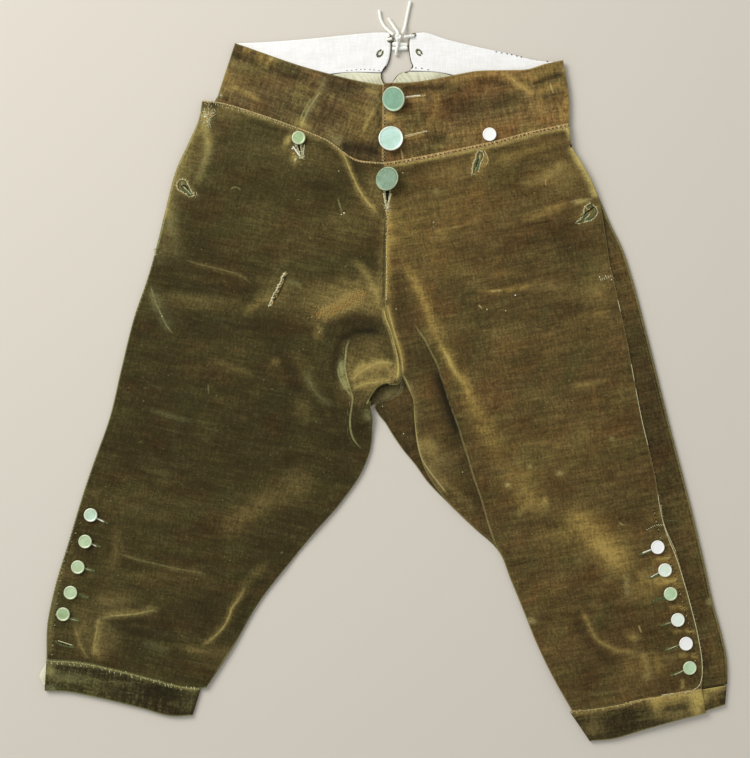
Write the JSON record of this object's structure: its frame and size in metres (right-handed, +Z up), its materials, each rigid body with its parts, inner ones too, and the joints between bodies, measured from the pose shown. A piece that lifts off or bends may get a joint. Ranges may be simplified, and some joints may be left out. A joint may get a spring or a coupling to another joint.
{
  "type": "knee breeches laid flat",
  "caption": "Worn brown velvet knee breeches lying flat, front up, with a fall front, deep waistband, laced back, metal buttons and kneebands.",
  "frame": {"origin": "centre of the garment's box in plan, on the surface that it lies on", "axes": "+Z up out of the front, +Y from the knees to the waist, +X towards the wearer's left leg"},
  "size_m": [0.7555, 0.814, 0.0222],
  "materials": {
    "velvet": "worn olive-brown cotton velvet, matte with a soft pile sheen",
    "linen": "plain white linen, matte",
    "cream_lining": "pale cream-green lining cotton, gathered, matte",
    "pale_metal": "flat cast white metal, dulled, a little green",
    "cotton_lace": "soft white cotton lace"
  },
  "bodies": {
    "root": {"front_right": "velvet", "front_left": "velvet", "back_right": "velvet", "back_left": "velvet", "waistband_front_right": "velvet", "waistband_front_left": "velvet", "waistband_back_right": "velvet", "waistband_back_left": "velvet", "kneeband_right": "velvet", "kneeband_left": "velvet", "waistband_lining_right": "linen", "waistband_lining_left": "linen", "seat_lining_right": "cream_lining", "seat_lining_left": "cream_lining", "kneeband_lining_right": "cream_lining", "waist_button_1": "pale_metal", "waist_button_2": "pale_metal", "waist_button_3": "pale_metal", "fall_button_right": "pale_metal", "fall_button_left": "pale_metal", "knee_button_right_1": "pale_metal", "knee_button_right_2": "pale_metal", "knee_button_right_3": "pale_metal", "knee_button_right_4": "pale_metal", "knee_button_right_5": "pale_metal", "knee_button_left_1": "pale_metal", "knee_button_left_2": "pale_metal", "knee_button_left_3": "pale_metal", "knee_button_left_4": "pale_metal", "knee_button_left_5": "pale_metal", "knee_button_left_6": "pale_metal", "lace_crossing_1": "cotton_lace", "lace_crossing_2": "cotton_lace", "lace_crossing_3": "cotton_lace", "lace_crossing_4": "cotton_lace", "lace_strand": "cotton_lace", "lace_knot": "cotton_lace", "lace_end_left": "cotton_lace", "lace_end_short": "cotton_lace", "lace_end_right": "cotton_lace"}
  },
  "joints": []
}
